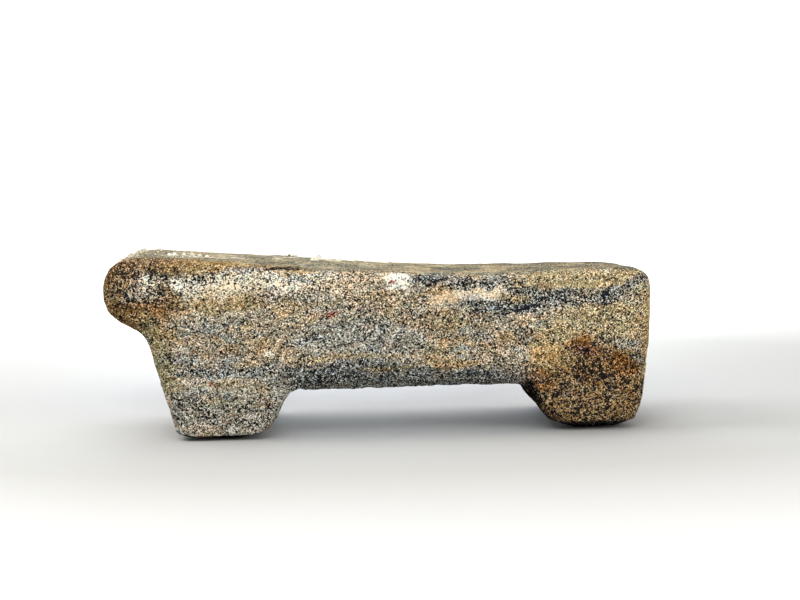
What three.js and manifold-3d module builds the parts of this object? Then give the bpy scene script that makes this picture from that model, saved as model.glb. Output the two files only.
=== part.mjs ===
// A four-footed saddle quern: a long grinding slab with a rounded nose, its top worn into a
// hollow, carved together with its four short legs from a single block of banded gneiss.
// Millimetres, +Z up. +X runs along the slab from the nose to the squared heel, and -Y is the
// front. The origin is on the floor, under the middle of the stone.

import Module from "manifold-3d";
import * as THREE from "three";
import { mergeVertices } from "three/addons/utils/BufferGeometryUtils.js";

const wasm = await Module();
wasm.setup();

// ---- driving dimensions ----

const LENGTH = 348;
const WIDTH = 160;
const UNDERSIDE = 30; // height of the slab's flat underside above the floor
const NOSE_TOP = 116.5; // height of the grinding face at the nose
const HOLLOW = 101.3; // height of the grinding face at its lowest, worn point
const HEEL_TOP = 102.2; // height of the grinding face at the heel

const EDGE = { across: 11, inward: 8 }; // worn rounding of the edges on both long sides
const NOSE_CORNER = { radius: 14, from: 110, full: 155 }; // rounding seen from above, and
const HEEL_CORNER = { radius: 18, from: 125, full: 165 }; // where it starts along the slab
const LEAN = { drop: 1.6, from: 30, full: 140 }; // the heel's back edge is worn lower

// The gap between the front and the back legs, with a rounded top.
const GAP_FLOOR = 72;
const GAP_TOP = 44;
const GAP_HEIGHT = 29;
const GAP_FILLET = 12;
const OVERSHOOT = 10; // how far a cutting shape runs on past the stone
const WELD = 1e-4; // corners closer than this are one corner

const NOSE_END = -LENGTH / 2;
const HEEL_END = LENGTH / 2;
const HALF_WIDTH = WIDTH / 2;

// ---- the block, seen from the front ----

// Outline in the x-z plane, from the nose-side soles round to the nose.
function sideOutline() {
  const outline = new THREE.Shape();

  // nose-side legs: flat sole, then the flared inner face up to the underside
  outline.moveTo(-114, 0);
  outline.lineTo(-87, 0);
  outline.bezierCurveTo(-75, 0, -71, 4, -66, 13);
  outline.bezierCurveTo(-61, 22, -58, UNDERSIDE, -44, UNDERSIDE);

  // underside, then heel-side legs with their broad rounded toes
  outline.lineTo(88, UNDERSIDE);
  outline.bezierCurveTo(94, UNDERSIDE, 95, 27, 97, 23);
  outline.bezierCurveTo(102, 13, 109, 0, 126, 0);
  outline.lineTo(153, 0);
  outline.bezierCurveTo(160, 0, 163, 2.5, 165, 8.5);

  // heel: a nearly upright end face and a rounded top corner
  outline.bezierCurveTo(172, 24, HEEL_END, 54, HEEL_END, 82);
  outline.bezierCurveTo(HEEL_END, 98, 171, 99.8, 157, 101);

  // grinding face: lowest well past the middle, rising to the nose
  outline.splineThru([
    new THREE.Vector2(136, HEEL_TOP),
    new THREE.Vector2(68, HOLLOW),
    new THREE.Vector2(0, 104.6),
    new THREE.Vector2(-80, 110.9),
    new THREE.Vector2(-146, NOSE_TOP),
  ]);

  // nose: a round end that overhangs the legs, then the hollow of its throat
  outline.bezierCurveTo(-166, 117.5, NOSE_END, 109, NOSE_END, 95);
  outline.bezierCurveTo(NOSE_END, 82, -167, 77, -154, 71);
  outline.bezierCurveTo(-147, 67.5, -145.2, 60, -143.2, 51);

  // outer faces of the nose-side legs
  outline.lineTo(-131, 9);
  outline.bezierCurveTo(-128.5, 1, -123, 0, -114, 0);
  return outline;
}

// ---- wear and dressing of the whole block ----

// How far a plan corner has drawn in at a distance y from the middle line.
function cornerDraw(y, radius) {
  const past = Math.max(0, Math.abs(y) - (HALF_WIDTH - radius));
  return radius - Math.sqrt(radius ** 2 - past ** 2);
}

function dress({ x, y, z }) {
  const corner = x < 0 ? NOSE_CORNER : HEEL_CORNER;
  const share = THREE.MathUtils.smoothstep(Math.abs(x), corner.from, corner.full);
  const drawnIn = share * cornerDraw(y, corner.radius);

  const nearTop = THREE.MathUtils.smoothstep(z, UNDERSIDE, HOLLOW);
  const nearHeel = THREE.MathUtils.smoothstep(x, LEAN.from, LEAN.full);
  const leaned = LEAN.drop * nearTop * nearHeel * (y / HALF_WIDTH);

  return new THREE.Vector3(x - Math.sign(x) * drawnIn, y, z - leaned);
}

function dressedBlock() {
  const block = new THREE.ExtrudeGeometry(sideOutline(), {
    depth: WIDTH - 2 * EDGE.across,
    steps: 9,
    curveSegments: 8,
    bevelThickness: EDGE.across,
    bevelSize: EDGE.inward,
    bevelOffset: -EDGE.inward,
    bevelSegments: 4,
  });
  block.translate(0, 0, EDGE.across - HALF_WIDTH);
  block.rotateX(Math.PI / 2);

  const places = block.attributes.position;
  const place = new THREE.Vector3();
  for (let i = 0; i < places.count; i += 1) {
    const dressed = dress(place.fromBufferAttribute(places, i));
    places.setXYZ(i, dressed.x, dressed.y, dressed.z);
  }
  return block;
}

// ---- the gap between front and back legs ----

function legGap() {
  const section = new THREE.Shape();
  const foot = GAP_FLOOR / 2;
  const shoulder = GAP_TOP / 2;
  section.moveTo(-foot, -OVERSHOOT);
  section.lineTo(foot, -OVERSHOOT);
  section.lineTo(foot, 0);
  section.lineTo(shoulder, GAP_HEIGHT - GAP_FILLET);
  section.quadraticCurveTo(shoulder, GAP_HEIGHT, shoulder - GAP_FILLET, GAP_HEIGHT);
  section.lineTo(GAP_FILLET - shoulder, GAP_HEIGHT);
  section.quadraticCurveTo(-shoulder, GAP_HEIGHT, -shoulder, GAP_HEIGHT - GAP_FILLET);
  section.lineTo(-foot, 0);
  const gap = new THREE.ExtrudeGeometry(section, {
    depth: LENGTH + 2 * OVERSHOOT,
    bevelEnabled: false,
    curveSegments: 6,
  });
  gap.translate(0, 0, -LENGTH / 2 - OVERSHOOT);
  gap.rotateX(Math.PI / 2);
  gap.rotateZ(Math.PI / 2);
  return gap;
}

// ---- joining and cutting ----

function solidFrom(geometry) {
  geometry.deleteAttribute("normal");
  geometry.deleteAttribute("uv");
  const merged = mergeVertices(geometry, WELD);
  return new wasm.Manifold(
    new wasm.Mesh({
      numProp: 3,
      vertProperties: merged.attributes.position.array,
      triVerts: Uint32Array.from(merged.index.array),
    }),
  );
}

function geometryFrom(solid) {
  const { vertProperties, triVerts } = solid.getMesh();
  const geometry = new THREE.BufferGeometry();
  geometry.setAttribute("position", new THREE.BufferAttribute(vertProperties, 3));
  geometry.setIndex(new THREE.BufferAttribute(triVerts, 1));
  geometry.computeVertexNormals();
  return geometry;
}

// ---- the stone ----

const gneiss = new THREE.MeshStandardMaterial({ color: 0x8a8270, roughness: 0.9, metalness: 0 });

const quern = new THREE.Mesh(
  geometryFrom(solidFrom(dressedBlock()).subtract(solidFrom(legGap()))),
  gneiss,
);
quern.name = "quern";

const group = new THREE.Group();
group.add(quern);
export default group;
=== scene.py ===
# %% [markdown]
# # A stone saddle quern on four short feet
#
# A saddle quern is the bed stone of a hand mill: the miller kneels at one end and rubs grain
# along the top with a second stone, and over the years the top wears into a saddle. This one
# was carved with its feet from one block of banded gneiss. So there is one big piece to make,
# the stone, and its looks come from two things: a surface that has been pecked, chipped and
# rubbed, and a mineral grain in which dark mica and pale feldspar lie in bands.
#
# The exact solid is loaded first. It sets the size, and nothing made here may leave its box.

import math
import random

import bmesh
import bpy
import numpy as np
from mathutils import Matrix, Vector, noise
from mathutils.bvhtree import BVHTree


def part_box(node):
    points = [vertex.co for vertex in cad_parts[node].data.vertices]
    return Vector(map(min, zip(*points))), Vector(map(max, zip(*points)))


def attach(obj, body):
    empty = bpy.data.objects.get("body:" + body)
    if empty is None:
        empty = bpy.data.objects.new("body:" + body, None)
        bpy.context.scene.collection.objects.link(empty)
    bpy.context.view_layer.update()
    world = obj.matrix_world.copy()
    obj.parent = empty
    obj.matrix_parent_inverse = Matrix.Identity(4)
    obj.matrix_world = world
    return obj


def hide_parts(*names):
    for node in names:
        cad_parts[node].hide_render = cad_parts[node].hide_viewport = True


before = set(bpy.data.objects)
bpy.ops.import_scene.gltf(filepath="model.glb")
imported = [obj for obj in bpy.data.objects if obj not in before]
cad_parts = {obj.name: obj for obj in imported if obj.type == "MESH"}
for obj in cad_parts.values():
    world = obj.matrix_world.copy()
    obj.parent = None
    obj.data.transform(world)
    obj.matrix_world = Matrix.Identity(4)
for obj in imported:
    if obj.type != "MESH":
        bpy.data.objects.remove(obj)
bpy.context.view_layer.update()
MM = 0.001  # Blender works in metres, and a stone is measured in millimetres
low, high = (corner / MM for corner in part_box("quern"))
HALF_WIDTH = high.y
print("the solid, in mm:", [round(v, 1) for v in low], [round(v, 1) for v in high])


def add_object(name, data):
    made = bpy.data.objects.new(name, data)
    bpy.context.scene.collection.objects.link(made)
    return made


# %% [markdown]
# ## The camera
#
# The camera stands on a tripod with a long lens, a little above the grinding face, so that the
# sides stay upright and the top shows as a thin strip. Three angles turn it one after the
# other: aside, down, and a little about its own axis. A camera aimed by a tracking constraint
# would be simpler, but it could not lean.

# %% The camera
TRIPOD_PLACE = Vector((-39.3, -1580, 179.8)) * MM
FILM_WIDTH = 36
LENS_LENGTH = 108
TURN_ASIDE, LOOK_DOWN, LEAN = math.radians(2), math.radians(3.58), math.radians(1.3)

lens = bpy.data.cameras.new("long_lens")
lens.sensor_width = FILM_WIDTH
lens.lens = LENS_LENGTH
camera = add_object("camera", lens)
camera.matrix_world = (
    Matrix.Translation(TRIPOD_PLACE)
    @ Matrix.Rotation(-TURN_ASIDE, 4, "Z")
    @ Matrix.Rotation(math.radians(90) - LOOK_DOWN, 4, "X")
    @ Matrix.Rotation(-LEAN, 4, "Z")
)
bpy.context.scene.camera = camera
print("the camera stands", round(TRIPOD_PLACE.length, 2), "m away")

# %% [markdown]
# ## The block, softened
#
# The solid is the right size but too clean: a worn stone has no sharp edge anywhere. A voxel
# remesh gives a copy of it an even skin of small squares, which is what carving needs, and a
# smoothing pass then rounds the edges as years of handling do. Bevels could round the edges
# too, but they meet badly where three faces come together.

# %% The block, softened
WELD = 0.01  # corners closer than this are one corner, in mm
SKIN = 1.52  # size of the squares of the stone's skin, in mm
ROUNDING = 0.5  # share of the way each pass moves a point towards its neighbours
ROUNDING_PASSES = 7


def hardened(piece, name):
    """A plain object holding the mesh that the piece's modifiers make."""
    graph = bpy.context.evaluated_depsgraph_get()
    mesh = bpy.data.meshes.new_from_object(piece.evaluated_get(graph))
    mesh.name = name
    bpy.data.objects.remove(piece)
    return add_object(name, mesh)


def softened_block():
    block = add_object("block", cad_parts["quern"].data.copy())
    welding = bmesh.new()
    welding.from_mesh(block.data)
    bmesh.ops.remove_doubles(welding, verts=welding.verts, dist=WELD * MM)
    welding.to_mesh(block.data)
    welding.free()
    skin = block.modifiers.new("even skin", "REMESH")
    skin.mode = "VOXEL"
    skin.voxel_size = SKIN * MM
    rounding = block.modifiers.new("rounding", "SMOOTH")
    rounding.factor = ROUNDING
    rounding.iterations = ROUNDING_PASSES
    return hardened(block, "stone")


stone = softened_block()
print("the stone's skin has", len(stone.data.polygons), "squares")

# %% [markdown]
# ## Reading and writing the skin
#
# Carving moves tens of thousands of points, so the points are read into one array, changed
# there, and written back. `ramp` is the soft step that most of the carving is made of: it is
# 0 on one side of a border, 1 on the other, and turns smoothly in between. Blender's own noise
# is smooth in the same way, and a seed moves it to a place of its own.

# %% Reading and writing the skin
ROUGHER, FINER = 0.6, 2.1  # how fast the octaves of the noise fade, and how much they shrink


def ramp(value, start, full):
    t = np.clip((value - start) / (full - start), 0, 1)
    return t * t * (3 - 2 * t)


def points_of(mesh):
    """The mesh's points in mm, one row for each."""
    flat = np.empty(len(mesh.vertices) * 3, np.float32)
    mesh.vertices.foreach_get("co", flat)
    return flat.reshape(-1, 3).astype(float) / MM


def facings_of(mesh):
    """The way the surface faces at each point."""
    flat = np.empty(len(mesh.vertices) * 3, np.float32)
    mesh.vertex_normals.foreach_get("vector", flat)
    return flat.reshape(-1, 3).astype(float)


def move_points(mesh, points):
    mesh.vertices.foreach_set("co", (points * MM).astype(np.float32).ravel())
    mesh.update()


def noise_at(points, size, seed, octaves=1):
    """Smooth random values from about -1 to 1, whose lumps are about size mm across."""
    shift = Vector((seed * 17.3, seed * 5.1, seed * 9.7))
    scale = Vector(size) if hasattr(size, "__len__") else Vector((size, size, size))
    return np.array([
        noise.fractal(Vector((x / scale.x, y / scale.y, z / scale.z)) + shift, ROUGHER, FINER, octaves)
        for x, y, z in points
    ])


# %% [markdown]
# ## Roughing out
#
# The mason's block is not quite a box. The long sides are hollowed a little between the legs,
# the lower edges of the slab turn under, the heel's feet are rounded at the bottom like a heel
# of bread, and the nose's feet flare. All of this narrows the stone towards its middle line,
# so one number per point, the narrowing in mm, does most of the job and cannot fold the
# surface. Then three spots are lifted: the hip where the slab meets the nose's legs, the
# heel's top corner, and the rims of the soles, because no foot touches the ground right up to
# its edge. Sculpting by hand could do the same, but it could not be repeated.

# %% Roughing out
NARROWEST = 1  # the sides stay at least this far inside the solid's sides, in mm
HIP_LIFT = 2.4
CORNER_OUT, CORNER_UP = 0.8, 0.6
LEG_MIDDLE = 48  # how far the middle of a sole is from the stone's middle line
SOLE_HALF_WIDTH = 15
# middle of the sole along x, half its length, how far its rim is lifted off the ground
SOLES = [(-97, 20, 2.3), (137, 24, 3.0)]


def narrowing_of(x, z):
    between_legs = ramp(x, -66, -44) * ramp(x, 104, 84)
    hollowed_side = 1.6 * between_legs * ramp(z, 84, 50)
    turned_under = 3.2 * between_legs * ramp(z, 46, 31)
    round_heel_foot = 4.0 * ramp(x, 88, 112) * ramp(z, 24, 0) ** 1.5
    flared_nose_foot = 6.0 * ramp(x, -60, -80) * ramp(z, 12, 2)
    slim_heel = 1.0 * ramp(x, 135, 172)
    slim_top = 1.2 * ramp(z, 88, 112)
    return hollowed_side + turned_under + round_heel_foot - flared_nose_foot + slim_heel + slim_top


def roughed_out(points):
    x, y, z = points.T
    narrowing = narrowing_of(x, z)
    print("the sides are drawn in by up to", round(float(narrowing.max()), 1), "mm")
    out = points.copy()
    hip = ramp(x, -66, -56) * ramp(x, -44, -54) * ramp(z, 60, 34) * ramp(z, 10, 22)
    out[:, 2] += HIP_LIFT * hip
    heel_corner = ramp(x, 146, 166) * ramp(z, 82, 95)
    out[:, 0] += CORNER_OUT * heel_corner
    out[:, 2] += CORNER_UP * heel_corner
    drawn_in = y * (1 - narrowing / HALF_WIDTH)
    out[:, 1] = np.clip(drawn_in, NARROWEST - HALF_WIDTH, HALF_WIDTH - NARROWEST)
    for middle, half_length, lift in SOLES:
        off = np.hypot((x - middle) / half_length, (np.abs(y) - LEG_MIDDLE) / SOLE_HALF_WIDTH)
        this_foot = ramp(np.abs(x - middle), 60, 50)
        out[:, 2] += lift * ramp(off, 0.6, 1.2) * ramp(z, 7, 0.5) * this_foot
    return out


move_points(stone.data, roughed_out(points_of(stone.data)))

# %% [markdown]
# ## Tool marks and wear
#
# The sides were dressed by pecking: thousands of blows with a hard pebble leave the surface
# gently uneven, with small pits. The top was pecked too, and then ground smooth. So the same
# noise is cut into every side, and the worn top is given only a fraction of it. The lower edges
# of the slab are ragged, and the soles stay flat. The cuts go inwards along the surface's own
# direction, as a blow does. A displacement modifier with a texture would cut the same pits, but
# it would not know the top from the sides.

# %% Tool marks and wear
GROUND_AWAY = 0.88  # share of the pecking that is gone where the top is worn
points = points_of(stone.data)
facing = facings_of(stone.data)
x, y, z = points.T
worn = ramp(facing[:, 2], 0.8, 0.97) * ramp(z, 88, 96)
sole = ramp(z, 3, 0.6)

swell = 0.9 * noise_at(points, (70, 55, 45), 1)
facets = 0.55 * noise_at(points, 17, 2, octaves=2)
pecks = 0.50 * np.clip(noise_at(points, 4.6, 3, octaves=2), -0.3, 1.2)
grit = 0.20 * noise_at(points, (2.6, 2.6, 2.2), 4)
lower_edge = ramp(z, 40, 34) * ramp(z, 24, 29) * ramp(np.abs(y), 60, 72)
ragged_edge = 1.0 * lower_edge * noise_at(points, 5.5, 5, octaves=2)

depth = swell + facets + (pecks + grit) * (1 - GROUND_AWAY * worn) + ragged_edge
depth *= 1 - sole
points = points - facing * depth[:, None]
print("the deepest cut, in mm:", round(float(depth.max()), 2))

# %% [markdown]
# ## Creases and chips
#
# Two blunt ridges run down the front, one where the nose's leg bends back into its inner side
# and one beside the heel's corner. A shallow crease along each makes it show. After them come
# the places where flakes of stone have come off. A crease needs to know how far each point is
# from a bent line, a chip how far it is from its own middle. Cutting with a boolean would leave
# sharp borders, and the stone has none.

# %% Creases and chips
RIDGE = [(-56, 68), (-64, 55), (-69, 39), (-71, 19), (-74, 4)]
HEEL_LINE = [(166, 76), (169, 56), (168, 38), (164, 20)]
# line, width and depth of the crease
CREASES = [(RIDGE, 3.2, 0.9), (HEEL_LINE, 2.4, 0.6)]
# middle, half size along x, y and z, and depth of the chip
CHIPS = [
    ((11, -HALF_WIDTH, 100), (11, 8, 8), 1.3),
    ((-61, -HALF_WIDTH + 3, 108), (12, 6, 1.6), 1.3),
    ((150, -HALF_WIDTH, 4), (13, 14, 7), 1.6),
]
FAR_AWAY = 999.0


def off_line(x, z, corners):
    """How far each point lies from a bent line on the front."""
    nearest = np.full(len(x), FAR_AWAY)
    for (x0, z0), (x1, z1) in zip(corners, corners[1:]):
        length = math.hypot(x1 - x0, z1 - z0)
        along = np.clip(((x - x0) * (x1 - x0) + (z - z0) * (z1 - z0)) / length**2, 0, 1)
        gap = np.hypot(x - x0 - along * (x1 - x0), z - z0 - along * (z1 - z0))
        nearest = np.minimum(nearest, gap)
    return nearest


def fitted(points):
    """The stone, stretched by the hair's breadth that brings it back to the solid's box."""
    least, most = points.min(axis=0), points.max(axis=0)
    wanted_least, wanted_most = np.array(low), np.array(high)
    return wanted_least + (points - least) * (wanted_most - wanted_least) / (most - least)


front = ramp(y, -40, -70)
for line, width, depth in CREASES:
    crease = ramp(off_line(x, z, line), width, 0.0) * front
    points = points - facing * (depth * crease)[:, None]
for middle, half_size, depth in CHIPS:
    reach = np.linalg.norm((points - np.array(middle)) / np.array(half_size), axis=1)
    points = points - facing * (depth * ramp(reach, 1.0, 0.35))[:, None]

points[:, 2] = np.maximum(points[:, 2], 0)
points = fitted(points)
move_points(stone.data, points)
stone.data.shade_smooth()
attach(stone, "root")
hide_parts("quern")
print("the carved stone, in mm:", points.min(axis=0).round(2), points.max(axis=0).round(2))

# %% [markdown]
# ## Painting by point: wear and layers
#
# Before any shader is written, some things are worked out for each point of the skin and kept
# in the mesh as attributes: how pale or dark its mix of minerals is, how strong the contrast
# between its crystals, how it is stained, how bruised it is, and how much lime lies on it. The
# paleness and the stain also carry painted shade in a few places. A shader could do all of it
# with noise, but it does not know the shape, and places that have to be hit, such as one band
# on one side, are easier to give as numbers.
#
# Gneiss is layered. The layers lie nearly flat in this block and dip a little towards the
# back, so `layer` is a height that has been tilted and bent. Noise that is stretched along it
# gives long bands on the sides and fine streaks on the top, where the worn face cuts through
# the layers at a low angle. The wear stops short of the brim, the front edge of the top near
# the nose, which keeps its patina.

# %% Painting by point: wear and layers
LAYER_DIP, LAYER_SLOPE = 0.16, 0.02  # how far the layers fall per mm along y and along x
# lump size, push and seed of the noises that bend a border
BENDS = ((34, 3.6, 11), (9, 2.4, 14), (3.6, 1.5, 17))
CALM = 0.3  # how much of the bending a thin line gets

facing = facings_of(stone.data)
x, y, z = points.T


def bent(points):
    """The points, pushed about by noise of three sizes, so that no border stays smooth."""
    moved = points.copy()
    for size, push, seed in BENDS:
        for axis in range(3):
            moved[:, axis] += push * noise_at(points, size, seed + axis)
    return moved


wavy = bent(points)
calm = points + CALM * (wavy - points)
layer = wavy[:, 2] + LAYER_DIP * wavy[:, 1] + LAYER_SLOPE * wavy[:, 0]
layered = np.column_stack([wavy[:, 0], wavy[:, 1], layer])
broad_bands = 0.13 * noise_at(layered, (60, 40, 5.5), 21, octaves=2)
fine_bands = 0.06 * noise_at(layered, (26, 18, 2.2), 22)
streaks = noise_at(layered, (30, 60, 2.0), 23, octaves=2) + 0.8 * noise_at(points, (14, 40, 30), 24)

brim = ramp(wavy[:, 1], -54, -66) * ramp(x, -10, -110)
worn = ramp(facing[:, 2], 0.86, 0.985) * ramp(z, 90, 97) * (1 - 0.85 * brim)
paler = broad_bands - 0.03 + fine_bands
paler += worn * (0.45 * streaks + 0.02 - 0.20 * ramp(x, -20, 100))
spread = np.ones(len(points))
print("worn share of the skin:", round(float(worn.mean()), 2))

# %% [markdown]
# ## Stains that drift through the stone
#
# A stain is a colour that the crystals are multiplied by, and `tinted` moves every point some
# share of the way towards it. The first four are clouds that lie along the layers and reach all
# sides. The worn top is greyer, and its streaks are bluish where they are dark and ochre where
# they are pale. The clouds come first, so that the single features can cover them. One entry of
# the table is not a stain but painted shade, a near-black.

# %% Stains that drift through the stone
STAINS_AND_PAINTED_SHADE = {
    "none": (1.00, 0.98, 0.98),
    "brown": (0.82, 0.58, 0.35),
    "umber": (0.72, 0.49, 0.22),
    "ochre": (1.02, 0.80, 0.47),
    "olive": (0.90, 0.90, 0.66),
    "ground": (0.90, 0.92, 0.87),
    "yellow": (1.10, 1.00, 0.73),
    "blue": (0.80, 0.93, 1.14),
    "pink": (1.14, 0.98, 0.82),
    "rust": (0.66, 0.32, 0.16),
    "orange": (0.98, 0.52, 0.16),
    "white": (1.02, 1.08, 1.15),
    "red": (0.80, 0.28, 0.20),
    # painted shade: the near-black put in the crack, under the feet and on the heel legs' inner sides
    "painted_shade": (0.16, 0.14, 0.13),
}
# size of its lumps, seed, octaves, where it begins and is full, strength, stain
CLOUDS = [
    ((38, 30, 12), 31, 3, 0.02, 0.35, 0.65, "ochre"),
    ((44, 30, 6), 32, 2, 0.08, 0.40, 0.65, "olive"),
    ((34, 24, 8), 33, 2, 0.08, 0.45, 0.80, "blue"),
    ((22, 18, 6), 34, 2, 0.20, 0.50, 0.70, "pink"),
]
stain_and_painted_shade = np.tile(STAINS_AND_PAINTED_SHADE["none"], (len(points), 1))


def tinted(share, name):
    stain_and_painted_shade[:] = stain_and_painted_shade + share[:, None] * (np.array(STAINS_AND_PAINTED_SHADE[name]) - stain_and_painted_shade)


for size, seed, octaves, begins, full, strength, name in CLOUDS:
    tinted(strength * ramp(noise_at(layered, size, seed, octaves), begins, full), name)
tinted(worn, "ground")
tinted(0.3 * worn * ramp(streaks, -0.1, -0.5), "blue")
tinted(0.4 * worn * ramp(streaks, 0.15, 0.6), "ochre")
print("the stain ranges over", stain_and_painted_shade.min(axis=0).round(2), stain_and_painted_shade.max(axis=0).round(2))

# %% [markdown]
# ## The features of the front
#
# Then come the things that sit in one place: the brown patina of the nose, where hands have
# held it, the whitish bruises below the top edge, the white chip, the black and cream bands of
# the front, the rust on the heel's leg, and a thin crack. The crack, two pits under the nose's
# top edge and the line in the crease by the heel's corner are painted shade, the dark band low
# on the slab is partly painted shade, and the strip past the heel's corner is partly painted
# light. Each is a turned ellipse on the front, given by its middle and its half axes in mm, and
# says how much paler the mix gets, how much stronger the contrast between crystals, and which
# stain lies over them. Thin ones are drawn with the calmer bending, or they would break up.
# Painting them by hand would be quicker once, but numbers can be corrected one at a time.

# %% The features of the front
BORDER = 0.30  # how soft a feature's border is, as a share of its half axes
THIN = 2.6  # a feature with less than this half height is thin, in mm
# x, z, half length, half height, turn, paler, contrast, stain, strength
FRONT_FEATURES = [
    # the nose
    (-150, 112, 64, 8, 3, -0.26, -0.1, "brown", 0.85),
    (-108, 110, 50, 4.5, 4, 0.06, -0.2, "ochre", 0.7),
    (-58, 108, 64, 3.2, -4.2, 0.12, -0.2, "ochre", 0.85),
    (-158, 104, 20, 6, 0, -0.10, 0.0, "brown", 0.8),
    (-150, 98, 17, 9, 0, 0.03, 0.7, "none", 0.6),
    (-147, 101, 4, 4, 0, 0.16, 0.3, "white", 0.8),
    (-124, 100.5, 5, 4, -20, 0.16, 0.3, "white", 1.0),
    (-90, 96, 4, 4, 0, 0.14, 0.3, "white", 0.8),
    (-67, 104, 5, 2.4, 0, 0.14, 0.3, "white", 0.8),
    # two dark pits under the overhanging top edge: painted shade
    (-129, 104.5, 9, 1.4, -4, -0.5, 0.1, "none", 0.3),
    (-111, 103, 6, 1.2, -6, -0.5, 0.1, "none", 0.3),
    (-134, 93, 8, 6, 0, -0.12, 0.3, "brown", 0.4),
    (-148, 81, 25, 8, 12, -0.22, -0.1, "brown", 1.0),
    (-148, 83, 16, 2.6, 8, -0.06, -0.1, "orange", 0.45),
    (-140, 72, 16, 5, -32, -0.03, 0.0, "ochre", 0.9),
    (-138, 55, 7, 26, 16, -0.10, -0.1, "olive", 0.9),
    # the bruised, whitish stretch below the top edge
    (-106, 98, 24, 8, -6, 0.10, 0.6, "white", 0.5),
    (-75, 97, 26, 8, 0, 0.13, 0.5, "white", 0.5),
    (-42, 97, 26, 9, -4, 0.07, 0.5, "white", 0.4),
    (-94, 90, 22, 9, 10, 0.05, -0.2, "ochre", 0.5),
    (-10, 92, 24, 12, -10, 0.03, 0.0, "pink", 0.6),
    (-98, 76, 40, 8, -6, 0.02, 0.1, "olive", 0.1),
    # the chip and the bands to its right
    (12, 99, 9, 6.5, -12, 0.52, 0.3, "white", 1.0),
    (8, 97.6, 1.8, 1.4, 0, -0.75, 0.2, "red", 1.0),
    (28, 99, 12, 3.6, 0, -0.16, 0.5, "blue", 0.6),
    (58, 95, 38, 4.5, -4, -0.16, 0.5, "blue", 0.6),
    (58, 87.5, 26, 4.0, 9, 0.52, -0.5, "pink", 0.8),
    (40, 82, 12, 4, 14, 0.18, -0.3, "pink", 0.6),
    (74, 83, 25, 4.6, -8, -0.17, 0.45, "blue", 0.7),
    (126, 97, 42, 5.5, 2, 0.01, -0.2, "yellow", 0.8),
    (124, 92.5, 38, 2.0, 2, 0.10, -0.4, "yellow", 0.9),
    (98, 90, 22, 2.2, -3, -0.24, 0.3, "blue", 0.6),
    (120, 84.5, 34, 5.4, 4, -0.20, 0.45, "blue", 0.6),
    (157, 91, 20, 3.6, 20, -0.07, 0.45, "blue", 0.6),
    (92, 73, 6, 4.5, 0, 0.20, -0.1, "pink", 0.9),
    (92, 62, 5, 6, 20, -0.26, 0.1, "blue", 0.6),
    (136, 68, 40, 12, 8, 0.03, 0.0, "yellow", 0.8),
    (148, 56, 14, 5, 0, -0.10, 0.1, "none", 0.3),
    # the heel's leg: iron stains, and painted light and shade at its corner
    (134, 20, 46, 32, 0, -0.18, 0.3, "umber", 0.85),
    (128, 50, 9, 4.5, -8, -0.32, 0.0, "rust", 0.9),
    (124, 55, 9, 2.6, 14, -0.08, -0.1, "orange", 0.9),
    (134, 38, 12, 8, -6, -0.14, 0.1, "umber", 0.7),
    (152, 42, 12, 6, -14, -0.28, -0.35, "orange", 1.0),
    (106, 48, 14, 9, -35, 0.08, -0.2, "ochre", 1.0),
    (99, 33, 9, 8, -50, -0.22, -0.35, "orange", 0.9),
    # the strip past the heel's corner is ochre and painted lighter, partly as painted light where it
    # turns to the right; the next, thin line is painted shade in the corner's crease
    (172, 52, 5, 30, -3, 0.10, -0.2, "ochre", 0.9),
    (168, 50, 1.2, 27, -3, -0.22, 0.0, "none", 0.0),
    (140, 10, 30, 5, 0, 0.04, 0.1, "ochre", 0.4),
    # the nose's leg: sagging bands
    (-92, 44, 36, 3.6, 2, -0.08, 0.35, "blue", 0.7),
    (-122, 49, 14, 3.0, -20, -0.12, 0.2, "blue", 0.5),
    (-100, 36, 36, 5.5, 2, 0.10, -0.2, "blue", 0.25),
    (-124, 27, 10, 4.5, -10, -0.16, 0.1, "blue", 0.5),
    (-96, 18, 44, 14, 0, -0.03, 0.0, "blue", 0.5),
    (-63, 32, 7, 26, 6, 0.08, 0.0, "blue", 0.6),
    (-70, 54, 4, 1.8, 0, 0.25, 0.1, "white", 0.7),
    (-62, 61.6, 9, 1.5, 52, 0.26, -0.4, "pink", 0.95),
    (-117, 56, 1.6, 1.4, 0, -0.10, 0.0, "red", 0.8),
    (-106, 36, 1.6, 1.4, 0, -0.10, 0.0, "red", 0.8),
    # the middle and the lower half of the slab
    # the dark blue-grey band along the slab's lower edge is partly painted shade where the edge turns
    # under
    (12, 36, 80, 8.0, -1, -0.40, -0.1, "blue", 1.0),
    (-20, 43, 40, 6, 0, -0.20, 0.0, "blue", 0.8),
    (-14, 62, 46, 12, -4, 0.02, 0.1, "blue", 0.7),
    (-52, 52, 7, 6, 0, -0.03, 0.1, "none", 0.8),
    (-22, 50.5, 42, 1.2, 0, 0.04, -0.2, "yellow", 0.7),
    (4, 42.5, 18, 1.5, 2, 0.10, -0.3, "yellow", 0.9),
    (12, 74, 34, 9, -3, -0.06, 0.1, "none", 0.2),
    (-31, 78, 4.0, 1.6, 10, -0.16, 0.0, "red", 0.95),
    (48, 44, 16, 3, 0, 0.03, 0.0, "ochre", 0.8),
    # the crack below the top edge, painted near-black as the shade inside it
    (-65, 106.8, 6, 0.7, 3, -2.4, 0.0, "painted_shade", 1.0),
    (-56, 107.4, 7, 0.8, -3, -2.4, 0.0, "painted_shade", 1.0),
]


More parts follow.
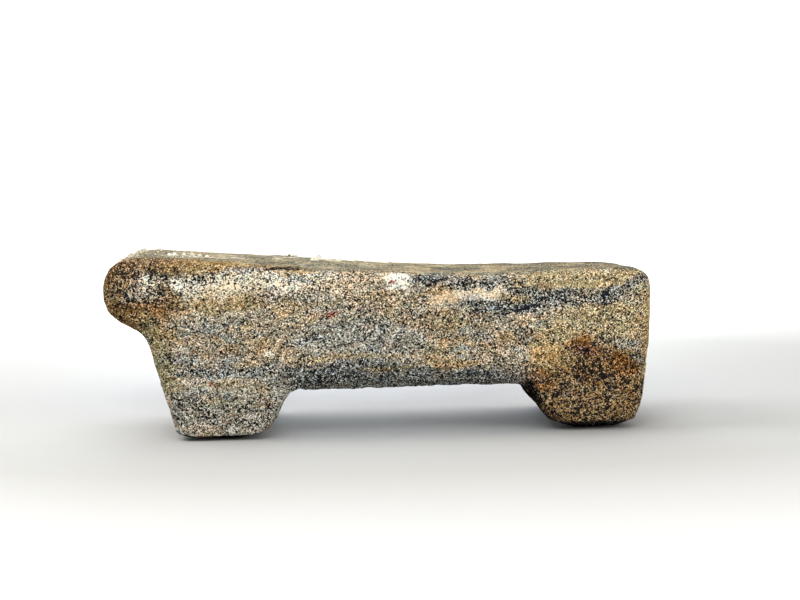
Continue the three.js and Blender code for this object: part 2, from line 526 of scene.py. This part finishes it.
def drawn(at_x, at_z, half_x, half_z, turn):
    """How much each point lies in a turned ellipse on the front."""
    drawn_on = calm if half_z < THIN else wavy
    across, up = drawn_on[:, 0] - at_x, drawn_on[:, 2] - at_z
    cosine, sine = math.cos(math.radians(turn)), math.sin(math.radians(turn))
    along = (across * cosine + up * sine) / half_x
    over = (up * cosine - across * sine) / half_z
    return ramp(np.hypot(along, over), 1 + BORDER, 1 - BORDER) * on_front


# a dark line painted along the nose leg's ridge: painted shade in its crease
painted_ridge_shade = ramp(off_line(calm[:, 0], calm[:, 2], RIDGE), 2.4, 0.4) * ramp(y, -40, -66)
paler -= 0.22 * painted_ridge_shade
on_front = ramp(y, -44, -66) * np.maximum(ramp(facing[:, 2], 0.95, 0.8), brim)
bruised = np.zeros(len(points))
for at_x, at_z, half_x, half_z, turn, shift, contrast, name, strength in FRONT_FEATURES:
    share = drawn(at_x, at_z, half_x, half_z, turn)
    paler += share * shift
    spread += share * contrast
    tinted(share * strength, name)
    if name == "white":
        bruised = np.maximum(bruised, share * strength)

mottled = on_front * ramp(wavy[:, 0], -80, -100) * ramp(wavy[:, 2], 101, 106)
paler += 0.34 * mottled * noise_at(points, (9, 9, 4), 41, octaves=3)
print(len(FRONT_FEATURES), "features painted on the front")

# %% [markdown]
# ## Lime film, painted shade and the nose's end
#
# A thin film of burial lime lies in patches on the grinding face. The inner sides of the heel's
# legs are painted nearly black as painted shade, and so is the skin that faces down just above
# the ground, as painted contact shadow round the feet. The end of the nose is tinted brown all
# round as patina, and darkened partly as painted shade. These follow the shape and not the
# front, so they are picked by where a point lies and which way it faces. Last, all the layers
# of paint are kept in the mesh, each under a name that the shader can ask for.

# %% Lime film, painted shade and the nose's end
LEAST_SPREAD = 0.2
# x, y, half length, half width and strength of each patch of the film
TOP_FILM = [
    (-160, 10, 5, 70, 0.5),
    (-152, 64, 8, 14, 0.6),
    (-118, -12, 16, 7, 0.5),
    (-96, 10, 14, 8, 0.5),
    (-60, 45, 12, 10, 0.5),
    (-36, 58, 12, 14, 0.8),
    (-18, 66, 14, 10, 0.7),
    (8, 70, 16, 8, 0.6),
]
lime_film = np.zeros(len(points))
for at_x, at_y, half_x, half_y, strength in TOP_FILM:
    reach = np.hypot((wavy[:, 0] - at_x) / half_x, (wavy[:, 1] - at_y) / half_y)
    patch = strength * ramp(reach, 1.3, 0.3) * ramp(facing[:, 2], 0.3, 0.7)
    lime_film = np.maximum(lime_film, patch)

# the inner sides of the heel's legs, painted nearly black: painted shade
heel_leg = ramp(x, 78, 86) * ramp(z, 40, 33)
painted_shade_on_inner_side = ramp(facing[:, 0], -0.35, -0.6) * heel_leg * ramp(y, -79, -75)
painted_shade_on_inner_side *= np.maximum(ramp(z, 14, 20), ramp(y, -76, -66))
paler -= 0.9 * painted_shade_on_inner_side
spread *= 1 - 0.9 * painted_shade_on_inner_side
tinted(painted_shade_on_inner_side, "painted_shade")

# skin facing down near the ground, painted nearly black: painted contact shadow round the feet
painted_contact_shadow = ramp(facing[:, 2], -0.4, -0.8) * ramp(z, 7, 4)
paler -= painted_contact_shadow
tinted(painted_contact_shadow, "painted_shade")

# the nose's end: tinted brown as patina, and darkened partly as painted shade
nose_end = ramp(wavy[:, 0], -150, -166) * ramp(wavy[:, 2], 66, 78) * (1 - worn)
paler -= 0.16 * nose_end
tinted(0.85 * nose_end, "umber")

spread = np.maximum(spread, LEAST_SPREAD) * (1 - 0.55 * worn)


def keep(name, kind, values):
    mask = stone.data.attributes.new(name, kind, "POINT")
    field = "vector" if kind == "FLOAT_VECTOR" else "value"
    mask.data.foreach_set(field, values.astype(np.float32).ravel())


keep("paler", "FLOAT", paler)
keep("spread", "FLOAT", spread)
keep("stain_and_painted_shade", "FLOAT_VECTOR", stain_and_painted_shade)
keep("lime", "FLOAT", lime_film)
keep("bruised", "FLOAT", bruised)
print("kept in the mesh:", [mask.name for mask in stone.data.attributes if mask.name[0] != "."])

# %% [markdown]
# ## A short way to write shader nodes
#
# `add` makes a node, sets its options and fills its inputs in order, either with plain values
# or with the output of an earlier node. The few helpers after it name the steps that the
# recipes repeat. Nodes could be wired by hand in the editor, but a recipe can be read.

# %% A short way to write shader nodes
class Recipe:
    def __init__(self, name):
        self.material = bpy.data.materials.new(name)
        self.material.use_nodes = True
        self.tree = self.material.node_tree
        self.tree.nodes.clear()
        self.place = self.scaled(self.add("TexCoord", out="Object"), 1 / MM)

    def add(self, kind, *inputs, out=0, **settings):
        step = self.tree.nodes.new("ShaderNode" + kind)
        for key, value in settings.items():
            setattr(step, key, value)
        for socket, value in zip(step.inputs, inputs):
            self.feed(socket, value)
        return step.outputs[out] if len(step.outputs) else None

    def feed(self, socket, value):
        if isinstance(value, bpy.types.NodeSocket):
            self.tree.links.new(value, socket)
        elif value is not None:
            socket.default_value = value

    def sum(self, a, b):
        return self.add("Math", a, b, operation="ADD")

    def less(self, a, b):
        return self.add("Math", a, b, operation="LESS_THAN")

    def times(self, a, b):
        return self.add("Math", a, b, operation="MULTIPLY")

    def scaled(self, vector, factor):
        return self.add("VectorMath", vector, None, None, factor, operation="SCALE")

    def moved(self, vector, by):
        return self.add("VectorMath", vector, by, operation="ADD")

    def ramp(self, value, start, full, low=0.0, high=1.0):
        return self.add("MapRange", value, start, full, low, high)

    def noise(self, place, size, detail=2.0, roughness=0.5, out=0):
        return self.add("TexNoise", place, None, 1 / size, detail, roughness, out=out)

    def kept(self, name, out="Fac"):
        return self.add("Attribute", attribute_name=name, out=out)

    def crystals(self, place, size):
        """Three random values for each crystal of about that size."""
        cells = self.add("TexVoronoi", place, None, 1 / size, out="Color")
        split = self.tree.nodes.new("ShaderNodeSeparateColor")
        self.feed(split.inputs[0], cells)
        return split.outputs

    def colours(self, value, stops):
        step = self.tree.nodes.new("ShaderNodeValToRGB")
        ramp_stops = step.color_ramp.elements
        while len(ramp_stops) < len(stops):
            ramp_stops.new(0.5)
        for stop, (start, colour) in zip(ramp_stops, stops.items()):
            stop.position = start
            stop.color = colour + (1,)
        self.feed(step.inputs[0], value)
        return step.outputs[0]

    def mixed(self, share, first, second, blend="MIX"):
        step = self.tree.nodes.new("ShaderNodeMix")
        step.data_type = "RGBA"
        step.blend_type = blend
        for socket, value in ((0, share), (6, first), (7, second)):
            self.feed(step.inputs[socket], value)
        return step.outputs[2]

    def tinted(self, colour, tint):
        return self.mixed(1.0, colour, tint, "MULTIPLY")

    def ragged(self, place, size, amount):
        """The place, pushed about by noise whose lumps are size mm across."""
        push = self.moved(self.noise(place, size, out="Color"), (-0.5, -0.5, -0.5))
        return self.moved(place, self.scaled(push, amount))

    def principled(self, **inputs):
        shader = self.tree.nodes.new("ShaderNodeBsdfPrincipled")
        for name, value in inputs.items():
            self.feed(shader.inputs[name.replace("_", " ")], value)
        self.add("OutputMaterial", shader.outputs[0])
        return self.material


# %% [markdown]
# ## What the gneiss is made of
#
# This gneiss is a mix of crystals of half a millimetre to a millimetre: black mica, grey
# quartz, and feldspar from tan to white. Quartz and feldspar run from dark to pale in one
# table, the ground mass. Mica is nearly black and takes almost no stain. Where a blow has
# crushed the stone it turns whitish. The two tables of tints are the slight hues of single
# crystals and of patches a few millimetres across. A painted texture wrapped round the stone
# would be the usual way, but it would stretch at the corners.

# %% What the gneiss is made of
GROUND_MASS = {  # quartz and feldspar, from dark to pale
    0.00: (0.040, 0.040, 0.042),
    0.25: (0.110, 0.102, 0.090),
    0.50: (0.210, 0.189, 0.153),
    0.75: (0.345, 0.307, 0.243),
    1.00: (0.640, 0.585, 0.490),
}
MICA = (0.003, 0.004, 0.009, 1)
BRUISED = (0.93, 0.92, 0.88, 1)
LIME = (0.80, 0.74, 0.60, 1)
CRYSTAL_TINTS = {  # slight hues that single crystals have
    0.00: (1.13, 0.97, 0.79),
    0.30: (1.04, 0.99, 0.88),
    0.60: (0.98, 1.00, 1.02),
    0.85: (1.00, 1.00, 0.84),
    1.00: (1.20, 0.91, 0.75),
}
CLUMP_TINTS = {  # and those of patches a few millimetres across
    0.34: (1.11, 0.97, 0.81),
    0.44: (1.06, 0.99, 0.87),
    0.52: (1.00, 1.00, 0.96),
    0.58: (1.00, 1.01, 0.88),
    0.68: (0.86, 0.97, 1.12),
}
print("the ground mass has", len(GROUND_MASS), "shades")

# %% [markdown]
# ## The layers of its look
#
# Every crystal draws a random number, and the colours of the ground mass turn the number into
# a mineral. Adding to the number makes a spot paler, because more of its crystals land on the
# feldspar end, and stretching the numbers apart raises the contrast. This is how the rock
# itself varies: not in the colour of its crystals, but in their shares.
#
# Two more sets of crystals lie over it. In the first, a crystal turns whitish when its number
# is below the share of bruised stone at its place, and wisps of noise join some of them up. In
# the second it turns to mica, and a noise makes the mica crowd together in places and thin out
# in others. A film of lime grains comes last.

# %% The layers of its look
GROUND_CRYSTAL, BRUISE_CRYSTAL, MICA_CRYSTAL = 0.52, 0.62, 0.74  # sizes in mm
MIDDLE_TONE = 0.60


def ground_mass(r, ragged, spread, paler, clumps):
    """The tone of each crystal of quartz or feldspar, and two more draws of its numbers."""
    draw, hue, second = r.crystals(ragged, GROUND_CRYSTAL)
    tone = r.sum(r.times(r.sum(draw, -0.5), r.times(spread, 1.3)), MIDDLE_TONE)
    tone = r.sum(tone, r.sum(r.times(paler, 0.5), r.times(clumps, 0.13)))
    return tone, hue, second


def all_tints(r, flat, hue):
    tint = r.tinted(r.colours(hue, CRYSTAL_TINTS), r.kept("stain_and_painted_shade", out="Vector"))
    patches = r.noise(flat, 9.0, detail=3, roughness=0.6)
    return r.tinted(tint, r.colours(patches, CLUMP_TINTS))


def bruises(r, ragged, mix, spread):
    """Where the stone is crushed white: wisps, and single crystals."""
    wisps = r.noise(ragged, 3.0, detail=4, roughness=0.75)
    wisps = r.ramp(r.sum(wisps, r.times(r.kept("bruised"), 0.16)), 0.665, 0.70)
    draw = r.crystals(r.moved(ragged, (31, 17, 5)), BRUISE_CRYSTAL)[0]
    share = r.times(r.ramp(mix, -0.08, 0.75, 0.14, 0.84), spread)
    return r.add("Math", wisps, r.less(draw, share), operation="MAXIMUM")


def mica_flecks(r, ragged, mix, spread):
    draw = r.crystals(r.moved(ragged, (7, 43, 11)), MICA_CRYSTAL)[0]
    crowd = r.ramp(r.noise(r.moved(ragged, (9, 9, 9)), 2.2), 0.36, 0.64, 0.45, 1.6)
    share = r.ramp(mix, 0.34, -0.44, 0.10, 0.50)
    return r.less(draw, r.times(r.times(share, crowd), spread))


def lime_grains(r, ragged):
    grains = r.noise(ragged, 1.8, detail=3, roughness=0.7)
    return r.ramp(r.sum(grains, r.times(r.kept("lime"), 0.34)), 0.62, 0.74)


print("crystals of", GROUND_CRYSTAL, BRUISE_CRYSTAL, "and", MICA_CRYSTAL, "mm")

# %% [markdown]
# ## Putting the gneiss together
#
# The layers go on one over another, as they were described. Before that the crystals are made
# ragged, since no crystal in a rock is a neat cell, and two wide noises make some patches paler
# and some calmer than others. The finest pits, less than 3 mm wide and half a millimetre deep,
# are left to the shading: a skin fine enough for them would need millions of faces. The stone
# is matt, with no gloss at all, so that the ground top doesn't shine when it is seen from very
# low down.

# %% Putting the gneiss together
CRYSTAL_EDGE, RAGGEDNESS = 1.6, 0.5  # noise size and push that roughen the crystals, in mm
FLATTER = (0.8, 0.8, 1.4)  # patches are wider than they are high
PIT_DEPTH = 0.4  # in mm
PURE = (1, 1, 1, 1)


def gneiss():
    r = Recipe("gneiss")
    ragged = r.ragged(r.place, CRYSTAL_EDGE, RAGGEDNESS)
    flat = r.add("Mapping", r.place, None, None, FLATTER)
    clumps = r.ramp(r.noise(flat, 5.0, detail=3, roughness=0.65), 0.28, 0.72, -1, 1)
    calmness = r.ramp(r.noise(r.moved(flat, (40, 0, 9)), 7.0, detail=2), 0.35, 0.65, 0.72, 1.2)
    spread = r.times(r.kept("spread"), calmness)
    paler = r.kept("paler")
    mix = r.sum(paler, r.times(clumps, 0.12))

    tone, hue, second = ground_mass(r, ragged, spread, paler, clumps)
    tint = all_tints(r, flat, hue)
    colour = r.tinted(r.colours(tone, GROUND_MASS), tint)
    whitish = r.tinted(BRUISED, r.mixed(0.85, PURE, tint))
    colour = r.mixed(bruises(r, ragged, mix, spread), colour, whitish)
    mica = r.mixed(0.03, MICA, colour)
    colour = r.mixed(mica_flecks(r, ragged, mix, spread), colour, mica)
    colour = r.mixed(lime_grains(r, ragged), colour, LIME)

    height = r.sum(r.times(tone, 0.5), r.noise(r.place, 2.8, detail=3))
    relief = r.add("Bump", 0.6, PIT_DEPTH * MM, None, height)
    roughness = r.ramp(second, 0, 1, 0.65, 0.9)
    return r.principled(
        Base_Color=colour, Roughness=roughness, Normal=relief, Specular_IOR_Level=0.0
    )


stone.data.materials.clear()
stone.data.materials.append(gneiss())
print("the gneiss has", len(stone.data.materials[0].node_tree.nodes), "nodes")

# %% [markdown]
# ## What the lime looks like
#
# Burial lime is white where it is clean and brown where it holds soil. A cloud of fine noise
# runs through the shades, and the number that each crumb carries moves it to the soiled end or
# to the clean one. One plain white would look like paint.

# %% What the lime looks like
LIME_SHADES = {  # soil-stained to clean
    0.30: (0.15, 0.10, 0.06),
    0.42: (0.44, 0.36, 0.25),
    0.52: (0.74, 0.67, 0.50),
    0.62: (0.90, 0.86, 0.75),
}
GRAIN_DEPTH = 0.3  # in mm


def lime():
    r = Recipe("lime_crust")
    cloud = r.noise(r.place, 1.3, detail=3, roughness=0.65)
    shade = r.sum(cloud, r.ramp(r.kept("pale"), 0, 1, -0.20, 0.10))
    relief = r.add("Bump", 0.5, GRAIN_DEPTH * MM, None, r.noise(r.place, 0.9, detail=2))
    return r.principled(Base_Color=r.colours(shade, LIME_SHADES), Roughness=0.9, Normal=relief)


print("the lime has", len(LIME_SHADES), "shades")

# %% [markdown]
# ## One crumb of lime
#
# Lime from the ground has set on the top in small crumbs. Each is a sphere of triangles,
# pressed flat, drawn in to a blunt peak, roughened with noise and sunk halfway into the face. A
# ray sent down from above finds the height of the face at its place. Each crumb also carries a
# number that says how pale it is, because some hold more soil than lime. Metaballs would melt
# into each other as real lime does, but they can't be placed so exactly.

# %% One crumb of lime
dice = random.Random(7)
corners = [vert.co.copy() for vert in stone.data.vertices]
squares = [tuple(square.vertices) for square in stone.data.polygons]
ground = BVHTree.FromPolygons(corners, squares)
CLEAR = 20  # the ray starts this far above the stone, in mm
PEAK = 0.45  # how far the top of a crumb is drawn in


def inside(at):
    """The nearest place that is still in the solid's box."""
    return Vector((max(at.x, low.x), max(low.y, min(at.y, high.y)), min(at.z, high.z)))


def lump(bm, x, y, length, width, height, pale=0.9):
    """One crumb of lime lying on the stone at (x, y)."""
    start = Vector((x, y, high.z + CLEAR)) * MM
    spot = ground.ray_cast(start, Vector((0, 0, -1)))[0] / MM
    made = bmesh.ops.create_icosphere(bm, subdivisions=2, radius=1)["verts"]
    shift = Vector((dice.uniform(0, 90), dice.uniform(0, 90), 0))
    turn = Matrix.Rotation(dice.uniform(-0.6, 0.6), 3, "Z")
    for vert in made:
        rough = 1 + 0.5 * noise.noise(vert.co * 1.9 + shift)
        drawn_in = 1 - PEAK * max(vert.co.z, 0)
        across, deep = vert.co.x * length * drawn_in, vert.co.y * width * drawn_in
        crumb = Vector((across, deep, vert.co.z * height * 2))
        vert.co = inside(spot + turn @ crumb * (0.5 * rough)) * MM
        vert[bm.verts.layers.float["pale"]] = pale


# %% [markdown]
# ## The crust
#
# Some crumbs are so large that each has its own place. The rest are thrown by seeded dice, so
# they fall the same way every time: a lip along the rim of the nose, grains behind it, thin
# ones scattered over the nose, and a few along the far edge. All crumbs are one piece, since
# they are all one thing.

# %% The crust
# x, y, length, width, height and paleness of the crumbs that stand alone
CRUMBS = [
    # the row across the middle of the nose
    (-134, -16, 3.6, 7, 1.4, 1.0),
    (-131, -9, 3.6, 5, 2.0, 1.0),
    (-125.4, -1, 2.6, 4, 1.9, 1.0),
    (-120, -2, 3.2, 4, 2.1, 1.0),
    (-115, -2, 2.6, 4, 1.6, 0.9),
    (-110, -10, 3.2, 5, 2.0, 1.0),
    # the far half of the top
    (-57, 69, 2.2, 3, 1.5, 0.1),
    (-53.5, 69, 5, 4, 2.0, 1.0),
    (-36.7, 69, 4, 4, 3.4, 0.9),
    (-40, 24, 5.4, 6, 2.4, 0.9),
    (-24, 40, 4.5, 7, 1.4, 0.8),
    (-11.5, 62, 3.2, 6, 1.4, 0.8),
    (11.7, 60, 3, 6, 1.2, 0.7),
    # the knob at the nose's far corner
    (-156, 69, 3.4, 4, 3.0, 0.15),
    (-160, 62, 3.4, 5, 2.2, 0.8),
]


def nose_rim(y, middle, bow):
    """Where the rim of the nose is at y: it bows out towards the middle."""
    return middle - bow * (1 - abs(y) / HALF_WIDTH)


def crust():
    bm = bmesh.new()
    bm.verts.layers.float.new("pale")
    throw = dice.uniform
    for crumb in CRUMBS:
        lump(bm, *crumb)
    for _ in range(12):  # the lip on the nose's rim
        y = throw(-38, 2)
        lump(bm, nose_rim(y, -162, 5), y, throw(2, 4), throw(4, 7), throw(1.4, 2.4))
    for _ in range(44):  # the grains behind it
        y = throw(2, 77)
        x = nose_rim(y, -158, 6) + abs(dice.gauss(0, 3))
        lump(bm, x, y, throw(0.7, 2), throw(0.8, 2.4), throw(0.5, 1.8), throw(0, 1))
    for _ in range(60):  # thin ones scattered over the nose
        x, y = throw(-156, -104), throw(-30, 77)
        lump(bm, x, y, throw(0.6, 1.6), throw(1, 3), throw(0.3, 0.8), throw(0.2, 1))
    for _ in range(14):  # and a few along the far edge
        x, y = throw(-60, 25), dice.gauss(60, 9)
        lump(bm, x, min(y, 76), throw(0.8, 2), 2.5, throw(0.3, 1.0), throw(0.3, 1))
    bmesh.ops.recalc_face_normals(bm, faces=bm.faces)
    mesh = bpy.data.meshes.new("lime_crust")
    bm.to_mesh(mesh)
    bm.free()
    return add_object("lime_crust", mesh)


crumbs = crust()
crumbs.data.materials.append(lime())
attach(crumbs, "root")
print("the crust has", len(crumbs.data.polygons), "triangles")

# %% [markdown]
# ## The paper sheet
#
# The stone stands on a pale sheet that runs on behind it and up into a wall, as paper does in
# a studio, so there is no horizon. An edge is run back along the floor, spun a quarter turn and
# run up. The paper is painted darker round the stone, darkest just behind it, as a painted
# shadow, and far away it glows, so that every view ends in white.

# %% The paper sheet
SHEET_REACH = 4.0  # to both sides and to the front, in metres, as are the next three
BEND_START = 0.9
BEND_RADIUS = 0.8
WALL_TOP = 3.0
BEND_STEPS = 24
# the painted shadow on the paper is centred this far behind the stone
PAINTED_SHADOW_MIDDLE = 220  # the middle of the darker paper is this far behind the stone's, in mm
PAPER_REACH = (100, 850)  # how far from that middle the shades below begin and end, in mm
FAR_GLOW = (1000, 2200)  # where the glow begins and is full, counted from the same middle
WALL_GLOW = (700, 1500)  # and counted straight back from the stone's middle
# near its middle the paper is painted darker, a painted shadow of the stone; further out it is plain
# pale paper
PAPER_AND_PAINTED_SHADOW = {
    0.00: (0.36, 0.355, 0.36),
    0.14: (0.49, 0.485, 0.48),
    0.24: (0.515, 0.508, 0.49),
    0.50: (0.53, 0.52, 0.49),
    1.00: (0.86, 0.85, 0.82),
}
GLOW = 0.9


def run_on(bm, edges, by):
    """Run the edges on into a wall, and return the wall's far edge."""
    made = bmesh.ops.extrude_edge_only(bm, edges=edges)["geom"]
    corners = [part for part in made if isinstance(part, bmesh.types.BMVert)]
    bmesh.ops.translate(bm, verts=corners, vec=by)
    edges = [part for part in made if isinstance(part, bmesh.types.BMEdge)]
    return [edge for edge in edges if all(corner in corners for corner in edge.verts)]


def seamless_sheet():
    bm = bmesh.new()
    front_corners = [bm.verts.new((side * SHEET_REACH, -SHEET_REACH, 0)) for side in (-1, 1)]
    edge = run_on(bm, [bm.edges.new(front_corners)], (0, SHEET_REACH + BEND_START, 0))
    bend = bmesh.ops.spin(
        bm, geom=edge + list(edge[0].verts), cent=(0, BEND_START, BEND_RADIUS), axis=(1, 0, 0),
        angle=math.radians(90), steps=BEND_STEPS,
    )["geom_last"]
    run_on(bm, [part for part in bend if isinstance(part, bmesh.types.BMEdge)], (0, 0, WALL_TOP))
    bmesh.ops.recalc_face_normals(bm, faces=bm.faces)
    mesh = bpy.data.meshes.new("sheet")
    bm.to_mesh(mesh)
    bm.free()
    mesh.shade_smooth()
    return add_object("sheet", mesh)


def paper():
    r = Recipe("paper")
    from_spot = r.moved(r.place, (0, -PAINTED_SHADOW_MIDDLE, 0))
    away = r.add("VectorMath", from_spot, operation="LENGTH", out=1)
    back = r.add("SeparateXYZ", r.place, out=1)
    wall_glow, far_glow = r.ramp(back, *WALL_GLOW, 0, GLOW), r.ramp(away, *FAR_GLOW, 0, GLOW)
    glow = r.add("Math", wall_glow, far_glow, operation="MAXIMUM")
    shade = r.colours(r.ramp(away, *PAPER_REACH), PAPER_AND_PAINTED_SHADOW)
    return r.principled(
        Base_Color=shade, Roughness=0.85, Emission_Color=PURE, Emission_Strength=glow
    )


sheet = seamless_sheet()
sheet.data.materials.append(paper())
print("the sheet has", len(sheet.data.polygons), "faces")

# %% [markdown]
# ## The lamps
#
# Six soft lamps light the scene. The key stands in front and above, one from the right shares
# the front with it, one from the left lights the nose and the top, and a faint one hangs
# overhead. A small cool one low behind the stone brightens the paper between the legs, and the
# last whitens the wall. Lamps this large give no hard shadow edge, as in a light tent. One
# small bright lamp would show the pecking more, but it would wash the colours out.

# %% The lamps
COOL = (0.90, 0.95, 1.0)
COOLER = (0.80, 0.90, 1.0)


def soft_lamp(name, place, size, watts, aim=(0, 0, 0), colour=(1, 1, 1)):
    lamp = bpy.data.lights.new(name, "AREA")
    lamp.energy = watts
    lamp.color = colour
    lamp.size = size
    made = add_object(name, lamp)
    made.visible_camera = False
    made.location = place
    made.rotation_euler = (Vector(aim) - Vector(place)).to_track_quat("-Z", "Y").to_euler()


soft_lamp("key", (-0.3, -1.2, 1.1), 0.8, 9.5)
soft_lamp("from_right", (1.3, -1.6, 0.7), 1.2, 23)
soft_lamp("from_left", (-1.0, 0, 1.0), 0.8, 12)
soft_lamp("overhead", (0, 0.2, 1.25), 0.9, 2.5, colour=COOL)
soft_lamp("low_back", (0, 1.0, 0.16), 0.25, 5.2, colour=COOLER)
soft_lamp("on_the_wall", (0, 0.5, 2.2), 1.5, 10, aim=(0, 1.7, 1.0))

# %% [markdown]
# ## The white room
#
# Beyond the paper there is a room. It sheds only a faint cool light on the stone, but where it
# is seen directly it is white, so it fits the glowing paper. A Light Path node tells the two
# apart. Standard view keeps white paper white; the default view would turn it grey.

# %% The white room
SHED, SEEN = 0.06, 1.3  # strength of the light on things, and of what is seen of the room

world = bpy.data.worlds.new("white room")
world.use_nodes = True
nodes, links = world.node_tree.nodes, world.node_tree.links
strength = nodes.new("ShaderNodeMapRange")
strength.inputs["To Min"].default_value = SHED
strength.inputs["To Max"].default_value = SEEN
links.new(nodes.new("ShaderNodeLightPath").outputs["Is Camera Ray"], strength.inputs["Value"])
room = nodes["Background"]
room.inputs["Color"].default_value = (*COOLER, 1)
links.new(strength.outputs[0], room.inputs["Strength"])
bpy.context.scene.world = world
bpy.context.scene.view_settings.view_transform = "Standard"
print("the room is seen at strength", SEEN)
